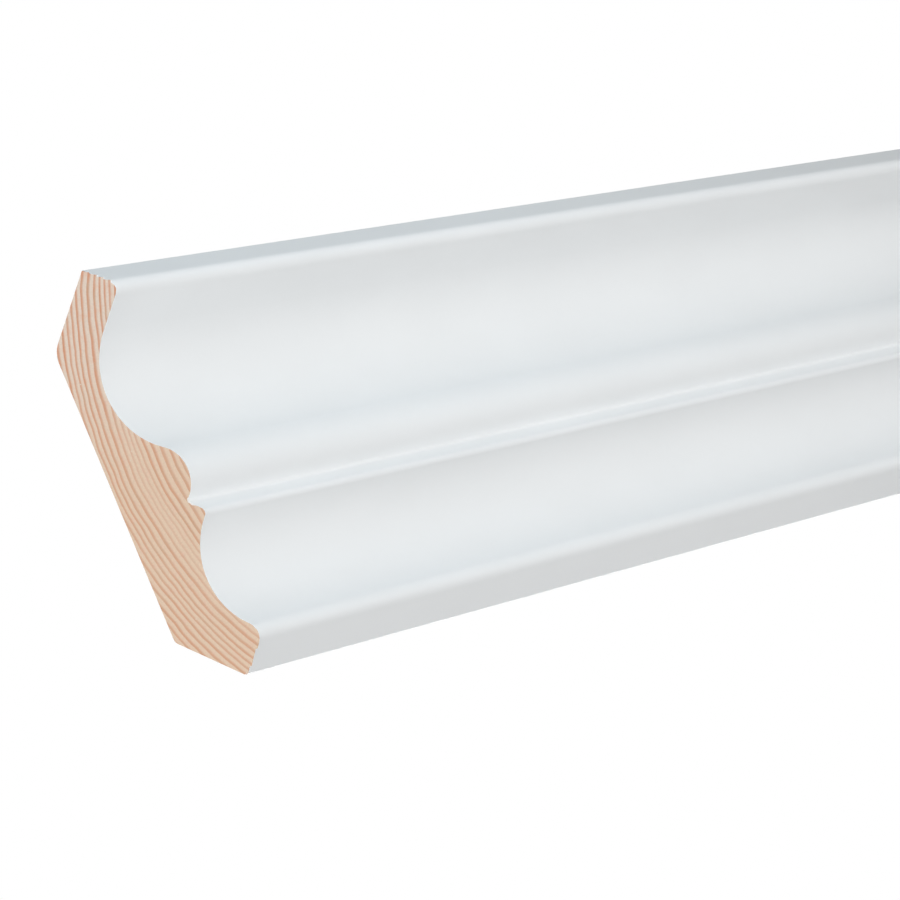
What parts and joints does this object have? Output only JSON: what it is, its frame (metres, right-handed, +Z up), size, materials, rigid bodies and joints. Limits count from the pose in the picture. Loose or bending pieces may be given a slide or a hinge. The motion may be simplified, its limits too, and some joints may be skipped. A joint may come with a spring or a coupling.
{
  "type": "cove moulding",
  "caption": "Sprung wall-to-ceiling cove moulding of white-painted pine, with a large cove, a bead, a fillet and a smaller cove, cut square to bare end grain.",
  "frame": {"origin": "middle of the flat face that lies against the wall", "axes": "+X along the length, +Y into the wall, +Z up to the ceiling; the moulded face looks along -Y and -Z into the room"},
  "size_m": [0.55, 0.0685, 0.0666],
  "materials": {
    "painted_pine": "satin white paint on the room side and both lips, bare pine on the sawn ends, the back and the hidden bevels"
  },
  "bodies": {
    "root": {"cove_moulding": "painted_pine"}
  },
  "joints": []
}
